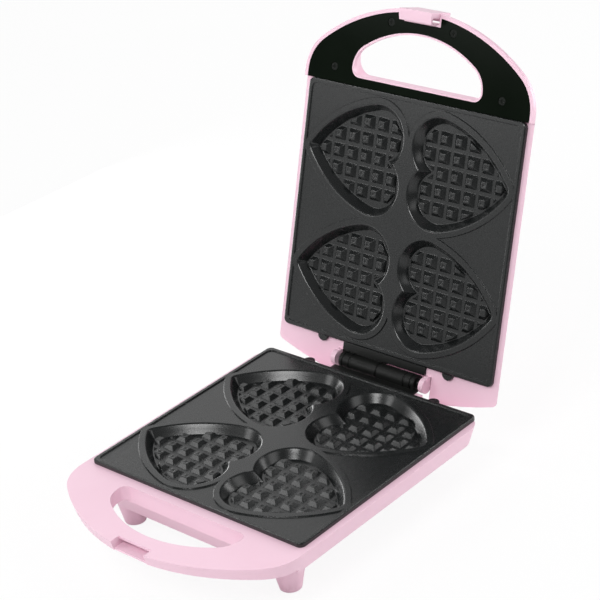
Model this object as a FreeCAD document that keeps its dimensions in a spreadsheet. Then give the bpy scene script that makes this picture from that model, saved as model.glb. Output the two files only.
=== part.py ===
import FreeCAD, Part
import math
import os
from types import SimpleNamespace
from FreeCAD import Placement, Rotation, Vector

# Waffle maker with four heart moulds: a base half, a lid half on a rear hinge, and a latch on the lid.
# Both halves are drawn alike: cooking plane at z = 0, plate's handle-side edge at y = 0, inside below.
# Driving sizes, in millimetres and degrees.
SIZES = {
    "plate_width": (205.0, "baking plate along the hinge"),
    "plate_length": (199.5, "baking plate from handle side to hinge side"),
    "plate_corner": (4.5, "corner radius of the plate"),
    "plate_edge": (3.5, "height of the plate's edge above the housing rim"),
    "relief": (1.0, "height of the raised rim and of the land round the hearts"),
    "plate_rim": (3.5, "width of the raised rim"),
    "land_width": (5.0, "width of the land outside a heart"),
    "lobe_radius": (25.0, "heart lobe"),
    "lobe_out": (29.5, "lobe centre from the plate's middle, along the hinge"),
    "lobe_side": (18.0, "lobe centre from the heart's own axis"),
    "flank_radius": (100.0, "heart flank"),
    "heart_tip": (96.0, "sharp tip from the plate's middle"),
    "heart_row": (47.0, "heart axis from the plate's middle"),
    "tip_round": (6.0, "tip radius at the heart's rim"),
    "wall_inset": (5.0, "how far a heart's wall runs in"),
    "heart_depth": (7.0, "depth of a heart"),
    "cup_wall": (2.5, "metal under and round a heart"),
    "stud_pitch": (13.5, "spacing of the studs"),
    "stud_first": (30.0, "first full column of studs from the plate's middle"),
    "stud_base": (10.5, "stud at its foot"),
    "stud_top": (5.2, "stud at its top"),
    "stud_height": (3.0, "height of a stud"),
    "stud_margin": (0.9, "floor kept free between the studs and a heart's wall"),
    "stud_least": (0.15, "smallest cut-off stud kept, as a share of a whole one"),
    "ear_out": (61.5, "plate ear from the middle"),
    "ear_radius": (5.0, "plate ear"),
    "plate_gap": (1.0, "gap between the closed plates"),
    "plate_height": (51.4, "cooking plane above the table"),
    "origin_back": (122.442, "frame origin behind the plate's handle-side edge"),
    "rim_margin": (5.0, "housing rim beside the plate"),
    "ledge": (3.5, "width of the ledge that carries the plate"),
    "handle_root": (5.0, "where the handle's arch starts, ahead of the plate"),
    "handle_rise": (61.0, "reach of the handle's arch"),
    "handle_corner": (36.0, "end radius of the handle's arch"),
    "hole_half": (60.0, "half width of the hand hole"),
    "hole_root": (14.0, "line of the hand hole's ends, ahead of the plate"),
    "hole_rise": (32.5, "reach of the hand hole"),
    "hole_corner": (20.0, "end radius of the hand hole"),
    "hole_back_corner": (6.0, "corner radius at the hole's straight side"),
    "hole_straight": (3.2, "straight part of the lid's hand hole"),
    "hole_flare": (6.0, "how far that hole widens to the back"),
    "base_rear": (-1.0, "base's rear edge behind the plate, at the sides"),
    "base_rear_bow": (4.5, "bow of the base's rear edge"),
    "base_corner": (14.0, "rear corner radius of the base"),
    "lid_rim_rear": (13.5, "lid's rim behind the plate, at the sides"),
    "lid_rim_bow": (17.0, "bow of the lid's rear rim"),
    "lid_rear": (12.0, "lid's rear edge behind the plate, at the sides"),
    "lid_rear_bow": (17.0, "bow of the lid's rear edge"),
    "lid_corner": (5.0, "rear corner radius of the lid"),
    "base_rear_slope": (0.25, "share of the side slope that the base's rear has"),
    "lid_rear_slope": (1.0, "share of the side slope that the lid's rear has"),
    "base_front_slope": (0.45, "share of the side slope that the base's front has"),
    "lid_front_slope": (1.0, "share of the side slope that the lid's front has"),
    "rear_ledge": (6.5, "width of the ledge behind the cavity"),
    "belly_front": (7.0, "front of the deep part, ahead of the plate"),
    "wall": (3.0, "housing wall"),
    "base_band": (18.0, "depth of the base's upright wall"),
    "base_band_inset": (3.5, "draft of that wall"),
    "base_depth": (34.0, "depth of the base"),
    "base_floor": (26.0, "inner floor of the base below the cooking plane"),
    "belly_arch": (8.0, "rise of the base's lower side edges between the feet"),
    "belly_arch_half": (76.0, "half length of that arch"),
    "keel_half": (78.0, "half width of the base's flat bottom between the arches"),
    "handle_step": (3.0, "step up to the base handle's underside"),
    "handle_taper": (6.4, "rise of the base handle's underside at its front"),
    "base_belly_inset": (21.0, "inset of the base's flat bottom"),
    "lid_band": (15.0, "depth of the lid's lower wall"),
    "lid_band_inset": (10.0, "draft of that wall"),
    "lid_depth": (30.0, "depth of the lid"),
    "lid_belly_inset": (26.0, "inset of the lid's flat top"),
    "front_foot_in": (30.7, "front foot in from the side"),
    "front_foot_back": (11.6, "front foot behind the plate's front edge"),
    "rear_foot_in": (49.5, "rear foot in from the side"),
    "rear_foot_ahead": (9.5, "rear foot ahead of the plate's rear edge"),
    "foot_bottom_radius": (8.1, "foot at the table"),
    "foot_top_radius": (13.3, "foot where it grows out of the base"),
    "foot_top": (26.0, "depth where a foot starts"),
    "pad_radius": (5.8, "rubber foot pad"),
    "pad_recess": (1.4, "pad's seat in the foot"),
    "pad_proud": (0.8, "pad below the foot"),
    "hinge_reach": (13.7, "hinge axis behind the plate"),
    "barrel_radius": (6.5, "hinge barrel"),
    "barrel_half": (37.0, "barrel from the middle to one end"),
    "knuckle_gap": (0.3, "end play of a knuckle"),
    "pin_radius": (2.5, "hinge pin"),
    "pin_head_radius": (4.0, "pin head"),
    "pin_head": (1.5, "thickness of a pin head"),
    "running_gap": (0.05, "radial clearance of pins and screws"),
    "leaf_thick": (2.0, "hinge leaf"),
    "leaf_drop": (19.0, "leaf below the cooking plane"),
    "leaf_flange": (1.8, "part of the leaf that lies on the rim"),
    "leaf_end": (40.5, "leaf's outer end from the middle"),
    "leaf_screw_in": (12.9, "inner leaf screw from the middle"),
    "leaf_screw_out": (34.4, "outer leaf screw from the middle"),
    "leaf_screw_drop": (13.3, "leaf screws below the cooking plane"),
    "notch_half": (46.0, "hinge notch from the middle"),
    "lug_radius": (6.0, "lid's lug beside the barrel"),
    "lug_in": (41.3, "inner side of that lug from the middle"),
    "lug_out": (45.4, "outer side of that lug from the middle"),
    "lug_drop": (12.0, "foot of that lug on the lid"),
    "notch_depth": (21.0, "depth of the hinge notch"),
    "screw_radius": (1.5, "small screw shank"),
    "screw_head_radius": (3.0, "small screw head"),
    "screw_head": (1.8, "small screw head height"),
    "screw_length": (7.0, "small screw shank length"),
    "boss_radius": (4.5, "screw boss on the plate"),
    "boss_out": (75.0, "side bosses from the middle"),
    "boss_end": (22.0, "end bosses from the plate's edge"),
    "shield_depth": (20.0, "heat shield below the cooking plane"),
    "shield_thick": (1.0, "heat shield sheet"),
    "shield_margin": (19.0, "heat shield inside the plate's edge"),
    "tube_radius": (3.3, "heating element tube"),
    "tube_bend": (14.0, "bend radius of the element"),
    "element_out": (55.0, "element runs from the middle"),
    "element_row": (60.0, "element runs from the plate's middle"),
    "element_lead": (18.0, "element ends from the middle"),
    "element_end": (84.0, "element ends from the plate's middle"),
    "clamp_width": (10.0, "element clamp along the tube"),
    "clamp_sheet": (1.0, "element clamp sheet"),
    "clamp_foot": (7.0, "foot of an element clamp"),
    "seat_gap": (0.2, "clearance of seated pieces"),
    "thermostat_radius": (8.0, "thermostat"),
    "thermostat_height": (8.0, "thermostat"),
    "fuse_radius": (2.5, "thermal fuse sleeve"),
    "fuse_length": (18.0, "thermal fuse sleeve"),
    "fuse_out": (88.0, "thermal fuse from the middle"),
    "cover_rim": (2.8, "pink rim round the handle cover"),
    "cover_thick": (2.5, "handle cover"),
    "cover_lip": (1.4, "pink lip round the lid's hand hole and latch slot"),
    "cover_screw_sink": (1.2, "depth of a cover screw's seat"),
    "cover_screw_seat": (3.3, "radius of a cover screw's seat"),
    "cover_screw_side_out": (79.0, "cover's side screws from the middle"),
    "cover_screw_side_front": (11.5, "cover's side screws ahead of the plate"),
    "cover_screw_out": (29.0, "cover's front screws from the middle"),
    "cover_screw_front": (53.0, "cover's front screws ahead of the plate"),
    "latch_half": (15.0, "half width of the latch"),
    "latch_thick": (4.0, "latch plate"),
    "latch_reach": (10.5, "latch tip beyond the cooking plane"),
    "latch_hook": (4.6, "reach of the latch's lip"),
    "latch_lip": (2.6, "thickness of the latch's lip"),
    "latch_tail": (6.0, "latch below its pivot"),
    "latch_pivot_depth": (7.0, "latch pivot behind the cooking plane"),
    "latch_boss": (3.4, "latch pivot boss"),
    "latch_pin_radius": (1.5, "latch pin"),
    "latch_pin_grip": (5.0, "latch pin in the handle"),
    "latch_side_gap": (0.5, "gap beside the latch"),
    "catch_depth": (5.7, "underside of the catch below the cooking plane"),
    "catch_front": (9.0, "catch behind the handle's front"),
    "catch_length": (9.0, "relief behind the catch"),
    "catch_shelf": (10.3, "shelf under the catch below the cooking plane"),
    "catch_setback": (3.5, "that shelf behind the handle's front"),
    "open_angle": (107.5, "lid angle at rest"),
    "light_out": (14.0, "indicator light from the middle"),
    "light_back": (34.0, "indicator light behind the plate's front edge"),
    "light_radius": (3.5, "indicator lens"),
    "light_crown": (2.1, "indicator lens at its top"),
    "light_flange": (5.0, "indicator lens flange"),
    "light_proud": (1.2, "lens dome above the lid"),
    "board_thick": (1.6, "indicator board"),
    "gland_in": (37.5, "cord gland in from the side"),
    "gland_depth": (27.0, "cord gland below the cooking plane"),
    "gland_bore": (3.6, "cord gland bore radius"),
    "gland_radius": (6.0, "cord gland sleeve"),
    "gland_flange": (8.0, "cord gland flange"),
    "gland_flange_thick": (3.0, "cord gland flange"),
    "gland_boss": (9.5, "housing boss round the gland"),
    "gland_boss_end": (7.0, "end of that boss behind the plate"),
    "block_length": (28.0, "terminal block"),
    "block_width": (16.0, "terminal block"),
    "block_height": (4.4, "terminal block"),
    "block_out": (40.0, "terminal block from the middle"),
    "block_ahead": (29.5, "terminal block ahead of the plate's rear edge"),
}

doc = FreeCAD.newDocument("waffle_maker")
sheet = doc.addObject("Spreadsheet::Sheet", "Sizes")
for row, (alias, (value, note)) in enumerate(SIZES.items(), 1):
    sheet.set(f"A{row}", note)
    sheet.set(f"B{row}", str(value))
    sheet.setAlias(f"B{row}", alias)
doc.recompute()
s = SimpleNamespace(**{alias: float(sheet.get(alias)) for alias in SIZES})

# Sizes that follow from the driving ones.
body_half = s.plate_width / 2 + s.rim_margin
middle = s.plate_length / 2
hinge_back = s.plate_length + s.hinge_reach
hinge_up = s.plate_gap / 2
notch_wall = hinge_back - s.barrel_radius
cavity_half = s.plate_width / 2 - s.ledge
cup_bottom = s.heart_depth + s.cup_wall
handle_front = s.handle_root + s.handle_rise
latch_pivot_front = handle_front - s.latch_boss - s.seat_gap
gland_out = body_half - s.gland_in


def bind(obj, **expressions):
    for prop, expression in expressions.items():
        obj.setExpression(prop.replace("__", "."), expression)
    return obj


# Outlines, each a list of edges run anticlockwise in the XY plane.
def line(start, end):
    return Part.LineSegment(Vector(*start, 0), Vector(*end, 0))


def arc(centre, radius, first, last):
    points = []
    for angle in (first, (first + last) / 2, last):
        points.append(Vector(centre[0] + radius * math.cos(angle), centre[1] + radius * math.sin(angle), 0))
    return Part.Arc(*points)


def arch(half, rise, corner, root):
    # Three arcs from (-half, root) round the front to (half, root).
    crown = ((half - corner) ** 2 + rise ** 2 - corner ** 2) / (2 * (rise - corner))
    turn = math.atan2(crown - rise, half - corner)
    return [
        arc((-(half - corner), root), corner, math.pi, math.pi + turn),
        arc((0, root - rise + crown), crown, math.pi + turn, 2 * math.pi - turn),
        arc((half - corner, root), corner, 2 * math.pi - turn, 2 * math.pi),
    ]


def bowed_rear(half, corner, side, bow):
    # Two rounded corners and a bowed edge between them; side is where the bow meets x = half.
    radius = (half ** 2 + bow ** 2) / (2 * bow)
    centre = side + bow - radius
    corner_back = centre + math.sqrt((radius - corner) ** 2 - (half - corner) ** 2)
    turn = math.atan2(corner_back - centre, half - corner)
    return corner_back, [
        arc((half - corner, corner_back), corner, 0, turn),
        arc((0, centre), radius, turn, math.pi - turn),
        arc((-(half - corner), corner_back), corner, math.pi - turn, math.pi),
    ]


def band_outline(inset, side, bow, corner):
    half = body_half - inset
    back, rear = bowed_rear(half, corner, side, bow)
    front = arch(half, s.handle_rise - inset, s.handle_corner - inset, -s.handle_root)
    return [line((half, -s.handle_root), (half, back))] + rear \
        + [line((-half, back), (-half, -s.handle_root))] + front


def belly_outline(half, front, side, bow, corner):
    back, rear = bowed_rear(half, corner, side, bow)
    return [line((half, front + corner), (half, back))] + rear + [
        line((-half, back), (-half, front + corner)),
        arc((-(half - corner), front + corner), corner, math.pi, 1.5 * math.pi),
        line((-(half - corner), front), (half - corner, front)),
        arc((half - corner, front + corner), corner, 1.5 * math.pi, 2 * math.pi),
    ]


def rectangle(half_x, low_y, high_y, corner):
    return [
        line((half_x, low_y + corner), (half_x, high_y - corner)),
        arc((half_x - corner, high_y - corner), corner, 0, math.pi / 2),
        line((half_x - corner, high_y), (-(half_x - corner), high_y)),
        arc((-(half_x - corner), high_y - corner), corner, math.pi / 2, math.pi),
        line((-half_x, high_y - corner), (-half_x, low_y + corner)),
        arc((-(half_x - corner), low_y + corner), corner, math.pi, 1.5 * math.pi),
        line((-(half_x - corner), low_y), (half_x - corner, low_y)),
        arc((half_x - corner, low_y + corner), corner, 1.5 * math.pi, 2 * math.pi),
    ]


def hole_outline(grow, flared=False):
    # A flared outline grows to the front and sides and keeps its straight side.
    half = s.hole_half + grow
    corner = s.hole_back_corner + grow
    root = -s.hole_root - (grow if flared else 0)
    rise = s.hole_rise + (0 if flared else grow)
    return [
        arc((half - corner, root), corner, 0, math.pi / 2),
        line((half - corner, root + corner), (-(half - corner), root + corner)),
        arc((-(half - corner), root), corner, math.pi / 2, math.pi),
    ] + arch(half, rise, s.hole_corner + grow, root)


def heart_outline(inset):
    # Heart with its tip towards +X and its axis on y = heart_row, drawn inset from its rim.
    reach = s.heart_tip - s.lobe_out
    spread = s.flank_radius - s.lobe_radius
    lean = (s.flank_radius ** 2 - reach ** 2 - spread ** 2 - s.lobe_side ** 2) / (2 * spread)
    turn = math.asin(lean / math.hypot(reach, s.lobe_side)) + math.atan2(s.lobe_side, reach)
    flank_out = s.lobe_out - spread * math.sin(turn)
    flank_side = s.lobe_side - spread * math.cos(turn)
    lobe = s.lobe_radius - inset
    flank = s.flank_radius - inset
    nose = s.tip_round - inset
    nose_out = flank_out + math.sqrt((s.flank_radius - s.tip_round) ** 2 - flank_side ** 2)
    join = math.pi / 2 - turn
    tip = math.atan2(-flank_side, nose_out - flank_out)
    notch = math.pi + math.asin(s.lobe_side / lobe)
    axis = s.heart_row
    return [
        arc((s.lobe_out, axis - s.lobe_side), lobe, -notch + 2 * math.pi, 2 * math.pi - join),
        arc((flank_out, axis - flank_side), flank, -join, -tip),
        arc((nose_out, axis), nose, -tip, tip),
        arc((flank_out, axis + flank_side), flank, tip, join),
        arc((s.lobe_out, axis + s.lobe_side), lobe, join, notch),
    ]


def mirrored(edges, across, along):
    flipped = []
    for edge in edges:
        points = [edge.value(edge.FirstParameter + share * (edge.LastParameter - edge.FirstParameter))
                  for share in (0, 0.5, 1)]
        flipped.append(Part.Arc(*[Vector(across * point.x, along * point.y, 0) for point in points]))
    return flipped


QUARTERS = [(1, 1), (-1, 1), (-1, -1), (1, -1)]


# Sketches, solids and booleans; depths and lengths are expressions on the sheet.
def sketch(name, edges, depth):
    drawing = doc.addObject("Sketcher::SketchObject", name)
    drawing.addGeometry(edges, False)
    return bind(drawing, Placement__Base__z=f"-({depth})")


def prism(name, edges, top, bottom):
    solid = doc.addObject("Part::Extrusion", name)
    solid.Base = sketch(name + "_outline", edges, top)
    solid.DirMode = "Custom"
    solid.Dir = Vector(0, 0, -1)
    solid.Solid = True
    return bind(solid, LengthFwd=f"({bottom}) - ({top})")


def loft(name, *sections):
    solid = doc.addObject("Part::Loft", name)
    solid.Sections = [sketch(f"{name}_section", edges, depth) for edges, depth in sections]
    solid.Solid = True
    solid.Ruled = True
    return solid


def cylinder(name, radius, height, base, axis=Vector(0, 0, 1)):
    solid = doc.addObject("Part::Cylinder", name)
    solid.Placement = Placement(base, Rotation(Vector(0, 0, 1), axis))
    return bind(solid, Radius=radius, Height=height)


def box(name, low, high):
    solid = doc.addObject("Part::Box", name)
    solid.Length, solid.Width, solid.Height = [top - bottom for bottom, top in zip(low, high)]
    solid.Placement = Placement(Vector(*low), Rotation())
    return solid


def fuse(name, *solids):
    joined = doc.addObject("Part::MultiFuse", name)
    joined.Shapes = list(solids)
    return joined


def cut(name, solid, *tools):
    result = doc.addObject("Part::Cut", name)
    result.Base = solid
    result.Tool = tools[0] if len(tools) == 1 else fuse(name + "_tools", *tools)
    return result


# Bodies made of features.
def origin_plane(owner, role):
    return next(feature for feature in owner.Origin.OriginFeatures if feature.Role == role)


def body_sketch(owner, name, edges, lift="0", role="XY_Plane"):
    drawing = owner.newObject("Sketcher::SketchObject", name)
    drawing.AttachmentSupport = [(origin_plane(owner, role), "")]
    drawing.MapMode = "FlatFace"
    drawing.addGeometry(edges, False)
    return bind(drawing, AttachmentOffset__Base__z=lift)


def extrude(owner, kind, name, drawing, length, reverse=False):
    feature = owner.newObject(f"PartDesign::{kind}", name)
    feature.Profile = drawing
    feature.Reversed = reverse
    return bind(feature, Length=length)


def body_loft(owner, kind, name, first, last):
    feature = owner.newObject(f"PartDesign::{kind}", name)
    feature.Profile = first
    feature.Sections = [last]
    feature.Ruled = True
    return feature


def circle(centre, radius):
    return Part.Circle(Vector(*centre, 0), Vector(0, 0, 1), radius)


def group(name, solids):
    # Several separate solids in one node.
    piece = doc.addObject("Part::Feature", name)
    piece.Shape = Part.makeCompound(solids)
    return piece


def screw(base, axis, head_radius, head, shank_radius, length):
    # The head's underside is at base and the shank runs along axis.
    shank = Part.makeCylinder(shank_radius, length, base, axis)
    cap = Part.makeCylinder(head_radius, head, base, axis * -1)
    return shank.fuse(cap).removeSplitter()


# Where the halves go: the base stands on the table, the lid is turned over and swung open on the hinge.
base_half = Placement(Vector(0, -s.origin_back, s.plate_height), Rotation())
turned_over = Placement(Vector(0, 0, s.plate_gap), Rotation(Vector(0, 1, 0), 180))
swing = Placement(Vector(), Rotation(Vector(1, 0, 0), -s.open_angle), Vector(0, hinge_back, hinge_up))
lid_half = base_half.multiply(swing).multiply(turned_over)
latch_pivot = Vector(0, -latch_pivot_front, -s.latch_pivot_depth)
latch_half_place = lid_half.multiply(Placement(latch_pivot, Rotation()))
pieces = []


def piece(solid, label, half, shift=Vector()):
    solid.Label = label
    pieces.append((solid, half.multiply(Placement(shift, Rotation()))))
    return solid


# Baking plate: cast aluminium with a raised rim, a land round four heart cups, studs and two rear ears.
def plate(label):
    owner = doc.addObject("PartDesign::Body", label + "_casting")
    outline = rectangle(s.plate_width / 2, -middle, middle, s.plate_corner)
    field = "-Sizes.relief"
    sheet_thick = "Sizes.plate_edge - Sizes.relief"
    extrude(owner, "Pad", "field", body_sketch(owner, "field_outline", outline, field), sheet_thick, True)
    for across in (1, -1):
        ear = [circle((across * s.ear_out, middle), s.ear_radius)]
        extrude(owner, "Pad", "ear", body_sketch(owner, "ear_outline", ear, field), sheet_thick, True)
    inner = rectangle(s.plate_width / 2 - s.plate_rim, -middle + s.plate_rim, middle - s.plate_rim,
                      s.plate_corner)
    extrude(owner, "Pad", "rim", body_sketch(owner, "rim_outline", outline + inner, field), "Sizes.relief")
    centre = rectangle(s.lobe_out, -s.heart_row - s.lobe_side, s.heart_row + s.lobe_side, s.plate_corner)
    extrude(owner, "Pad", "centre", body_sketch(owner, "centre_outline", centre, field), "Sizes.relief")
    boss_places = [(s.boss_out, 0), (-s.boss_out, 0), (0, middle - s.boss_end), (0, s.boss_end - middle)]
    bosses = [circle(place, s.boss_radius) for place in boss_places]
    extrude(owner, "Pad", "bosses", body_sketch(owner, "boss_outline", bosses, field),
            "Sizes.shield_depth - Sizes.relief", True)
    for quarter in QUARTERS:
        def heart(inset, lift):
            return body_sketch(owner, "heart_outline", mirrored(heart_outline(inset), *quarter), lift)
        extrude(owner, "Pad", "land", heart(-s.land_width, field), "Sizes.relief")
        body_loft(owner, "AdditiveLoft", "cup", heart(-s.cup_wall, field),
                  heart(s.wall_inset - s.cup_wall, "-(Sizes.heart_depth + Sizes.cup_wall)"))
    for quarter in QUARTERS:
        def heart(inset, lift):
            return body_sketch(owner, "heart_outline", mirrored(heart_outline(inset), *quarter), lift)
        body_loft(owner, "SubtractiveLoft", "mould", heart(0, "0"),
                  heart(s.wall_inset, "-Sizes.heart_depth"))
    holes = [circle(place, s.screw_radius + s.running_gap) for place in boss_places]
    extrude(owner, "Pocket", "screw_holes", body_sketch(owner, "holes", holes, "-Sizes.shield_depth"),
            "Sizes.screw_length + Sizes.plate_edge", True)
    studs = doc.addObject("Part::Feature", label + "_studs")
    studs.Shape = Part.makeCompound(stud_solids())
    return fuse(label, owner, studs)


def square_wire(x, y, side, z):
    half = side / 2
    corners = [Vector(x + a * half, y + b * half, z) for a, b in QUARTERS + QUARTERS[:1]]
    return Part.makePolygon(corners)


def stud_solids():
    # Studs on a square grid, cut off along the heart's wall.
    root = -s.heart_depth - s.cup_wall / 2
    top = -s.heart_depth + s.stud_height
    corners = []
    for edge in heart_outline(s.wall_inset + s.stud_margin):
        span = edge.LastParameter - edge.FirstParameter
        corners += [edge.value(edge.FirstParameter + share * span) for share in (0, 0.25, 0.5, 0.75)]
    corners = [Vector(corner.x, corner.y, root) for corner in corners]
    field = Part.Face(Part.makePolygon(corners + corners[:1])).extrude(Vector(0, 0, top - root))
    rows = range(-2, 3)
    columns = range(-1, 5)
    flare = (s.stud_base - s.stud_top) / s.stud_height
    root_side = s.stud_base + flare * s.cup_wall / 2
    solids = []
    for column in columns:
        for row in rows:
            x = s.stud_first + column * s.stud_pitch
            y = s.heart_row + row * s.stud_pitch
            wires = [square_wire(x, y, root_side, root), square_wire(x, y, s.stud_top, top)]
            stud = Part.makeLoft(wires, True, True).common(field)
            if stud.Volume > s.stud_least * s.stud_top ** 2 * s.stud_height:
                solids += stud.Solids
    placed = []
    for across, along in QUARTERS:
        for stud in solids:
            turned = stud
            if across < 0:
                turned = turned.mirror(Vector(), Vector(1, 0, 0))
            if along < 0:
                turned = turned.mirror(Vector(), Vector(0, 1, 0))
            placed.append(turned)
    return placed


# Housing half: an upright band that includes the handle, and a deep part behind the hand hole.
def housing_shell(name, band, band_inset, depth, belly_inset, rear):
    rim_outline = band_outline(0, s.plate_length + rear.rim, rear.rim_bow, rear.corner)
    edge_outline = band_outline(band_inset, s.plate_length + rear.edge, rear.edge_bow, rear.corner)
    upper = loft(name + "_band", (rim_outline, "Sizes.plate_edge"), (edge_outline, band))

    def belly(inset, run):
        side = s.plate_length + rear.edge - run * rear.slope
        return belly_outline(body_half - inset, run * rear.front - s.belly_front, side, rear.edge_bow,
                             rear.corner)
    run = belly_inset - band_inset
    lower = loft(name + "_belly", (belly(band_inset, 0), band), (belly(belly_inset, run), depth))
    seat = box(name + "_hinge_seat",
               (-s.notch_half, s.plate_length - s.rear_ledge, -s.notch_depth),
               (s.notch_half, notch_wall, -s.plate_edge - s.seat_gap))
    return fuse(name + "_shell", upper, lower, seat)


def housing_cavity(name, band, floor, deep_half, front_slope):
    # The hollow under the plate, at least one wall inside the shell.
    low = s.ledge
    high = s.plate_length - s.rear_ledge
    run = front_slope * (cavity_half - deep_half)
    corner = s.plate_corner
    return loft(name + "_cavity", (rectangle(cavity_half, low, high, corner), "Sizes.plate_edge"),
                (rectangle(cavity_half, low, high, corner), f"{band} - Sizes.wall / 2"),
                (rectangle(deep_half, low + run, high - 2 * s.wall, corner), floor))


def leaf_screw_places():
    return [(s.leaf_screw_in, -s.leaf_screw_drop), (s.leaf_screw_out, -s.leaf_screw_drop)]


def leaf_screw_holes(name):
    holes = []
    for x, z in leaf_screw_places():
        holes.append(cylinder(name + "_leaf_hole", "Sizes.screw_radius + Sizes.running_gap",
                              "Sizes.screw_length", Vector(x, notch_wall, z), Vector(0, -1, 0)))
    return holes


def hinge_notch(name):
    return box(name + "_hinge_notch", (-s.notch_half, notch_wall, -s.notch_depth),
               (s.notch_half, notch_wall + 2 * s.notch_half, s.notch_depth))


base_shape = SimpleNamespace(rim=s.base_rear, rim_bow=s.base_rear_bow, edge=s.base_rear - s.plate_edge,
                             edge_bow=s.base_rear_bow, corner=s.base_corner, slope=s.base_rear_slope,
                             front=s.base_front_slope)
lid_shape = SimpleNamespace(rim=s.lid_rim_rear, rim_bow=s.lid_rim_bow, edge=s.lid_rear,
                            edge_bow=s.lid_rear_bow, corner=s.lid_corner, slope=s.lid_rear_slope,
                            front=s.lid_front_slope)
foot_places = []
for across in (1, -1):
    foot_places.append(Vector(across * (body_half - s.front_foot_in), s.front_foot_back, 0))
    foot_places.append(Vector(across * (body_half - s.rear_foot_in), s.plate_length - s.rear_foot_ahead, 0))
foot_bottom = s.plate_height - s.pad_proud


# Lower housing with its four feet, the catch for the latch and the boss for the cord gland.
def handle_taper():
    # Takes the underside of the base's handle up towards its front.
    near = -s.belly_front - s.seat_gap
    far = -handle_front - s.wall
    slope = (s.handle_taper - s.handle_step) / (handle_front + near)
    start = s.handle_step - s.base_band
    profile = [(near, start), (near, -s.base_depth), (far, -s.base_depth),
               (far, start + slope * (near - far))]
    corners = [Vector(-body_half, y, z) for y, z in profile]
    wedge = doc.addObject("Part::Feature", "handle_taper")
    wedge.Shape = Part.Face(Part.makePolygon(corners + corners[:1])).extrude(Vector(2 * body_half, 0, 0))
    return wedge


def belly_arches():
    # Hollows out the lower edge of both long sides.
    radius = (s.belly_arch_half ** 2 + s.belly_arch ** 2) / (2 * s.belly_arch)
    arches = []
    for start in (s.keel_half, -body_half):
        axis = Vector(start, middle, -s.base_depth + s.belly_arch - radius)
        arches.append(cylinder("belly_arch", f"{radius}", f"{body_half} - Sizes.keel_half", axis,
                               Vector(1, 0, 0)))
    return arches


def lower_housing():
    shell = housing_shell("base", "Sizes.base_band", s.base_band_inset, "Sizes.base_depth",
                          s.base_belly_inset, base_shape)
    shell = cut("base_trimmed", shell, handle_taper(), *belly_arches())
    feet = []
    for place in foot_places:
        foot = doc.addObject("Part::Cone", "foot")
        bind(foot, Radius1="Sizes.foot_bottom_radius", Radius2="Sizes.foot_top_radius",
             Height="Sizes.plate_height - Sizes.pad_proud - Sizes.foot_top")
        foot.Placement = Placement(place - Vector(0, 0, foot_bottom), Rotation())
        feet.append(foot)
    gland_boss = cylinder("gland_boss", "Sizes.gland_boss",
                          "Sizes.gland_boss_end + Sizes.rear_ledge + Sizes.wall",
                          Vector(gland_out, s.plate_length - s.rear_ledge - s.wall, -s.gland_depth),
                          Vector(0, 1, 0))
    tools = [housing_cavity("base", "Sizes.base_band", "Sizes.base_floor", s.keel_half - s.wall,
                            s.base_front_slope),
             prism("base_hand_hole", hole_outline(0), "0", "Sizes.base_depth"), hinge_notch("base")]
    tools += leaf_screw_holes("base")
    catch_half = s.latch_half + 2 * s.latch_side_gap
    catch_front = s.catch_front - handle_front
    tools.append(box("catch_notch", (-catch_half, -handle_front - s.catch_front, -s.catch_shelf),
                     (catch_half, catch_front, 0)))
    tools.append(box("catch_front", (-catch_half, -handle_front - s.catch_front, -s.base_depth),
                     (catch_half, s.catch_setback - handle_front, 0)))
    tools.append(box("catch_relief", (-catch_half, catch_front - s.wall, -s.catch_shelf),
                     (catch_half, catch_front + s.catch_length, -s.catch_depth)))
    for place in foot_places:
        tools.append(cylinder("pad_seat", "Sizes.pad_radius + Sizes.seat_gap", "Sizes.pad_recess",
                              place - Vector(0, 0, foot_bottom)))
    tools.append(cylinder("gland_seat", "Sizes.gland_radius + Sizes.running_gap",
                          "Sizes.gland_boss_end + 2 * Sizes.rear_ledge",
                          Vector(gland_out, s.plate_length - 2 * s.rear_ledge, -s.gland_depth),
                          Vector(0, 1, 0)))
    return cut("lower_housing", fuse("base_blank", shell, gland_boss, *feet), *tools)


def foot_pads():
    solids = []
    for place in foot_places:
        top = place - Vector(0, 0, foot_bottom - s.pad_recess)
        solids.append(Part.makeCylinder(s.pad_radius, s.pad_recess + s.pad_proud, top, Vector(0, 0, -1)))
    return group("foot_pads", solids)


# Handle cover of the lid, let into the handle between its outer rim and the lip of the hand hole.
def cover_outline(inset):
    half = body_half - s.cover_rim - inset
    root = -s.handle_root
    back = -inset
    front = arch(half, s.handle_rise - s.cover_rim - inset, s.handle_corner - s.cover_rim - inset, root)
    sides = [line((half, root), (half, back)), line((half, back), (-half, back)),
             line((-half, back), (-half, root))]
    return sides + front


cover_screw_places = []
for across in (1, -1):
    cover_screw_places.append((across * s.cover_screw_side_out, -s.cover_screw_side_front))
    cover_screw_places.append((across * s.cover_screw_out, -s.cover_screw_front))
latch_slot_half = s.latch_half + s.latch_side_gap
latch_slot_back = latch_pivot_front - s.latch_boss - s.latch_thick / 2


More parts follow.
